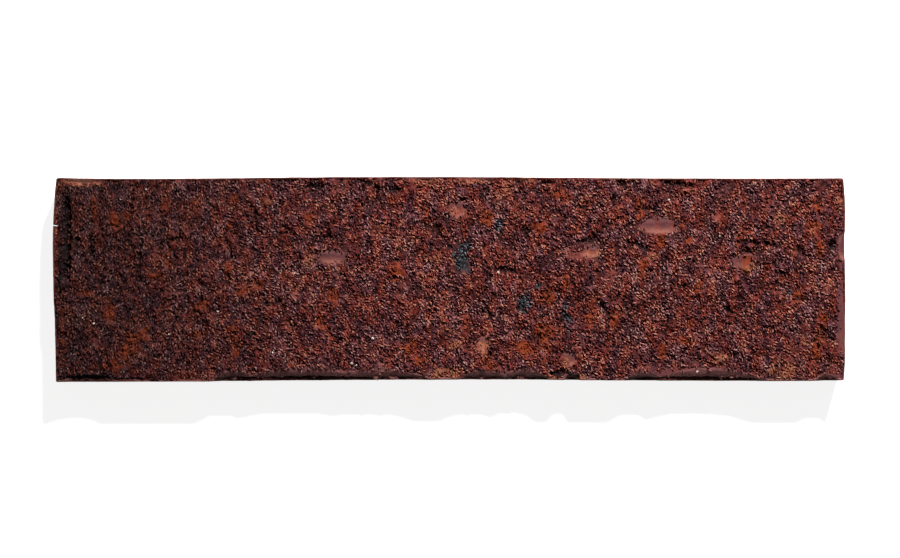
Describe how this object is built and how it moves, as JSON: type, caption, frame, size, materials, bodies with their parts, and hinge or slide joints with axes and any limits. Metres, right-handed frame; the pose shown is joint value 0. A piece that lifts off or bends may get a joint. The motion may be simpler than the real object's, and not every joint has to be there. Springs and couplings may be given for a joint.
{
  "type": "clinker brick slip",
  "caption": "Thin fired-clay facing slip with a torn rough face, pressed arrises and a back keyed with dovetail grooves for adhesive.",
  "frame": {"origin": "middle of the back, on the plane that the slip lies on", "axes": "+X along the slip's length, to the right as the face is looked at; +Y up the face; +Z out of the face"},
  "size_m": [0.25, 0.065, 0.014],
  "materials": {
    "fired_clay": "rough, torn and coal-fired, red-brown to purple-black, matt"
  },
  "bodies": {
    "root": {"brick_slip": "fired_clay"}
  },
  "joints": []
}
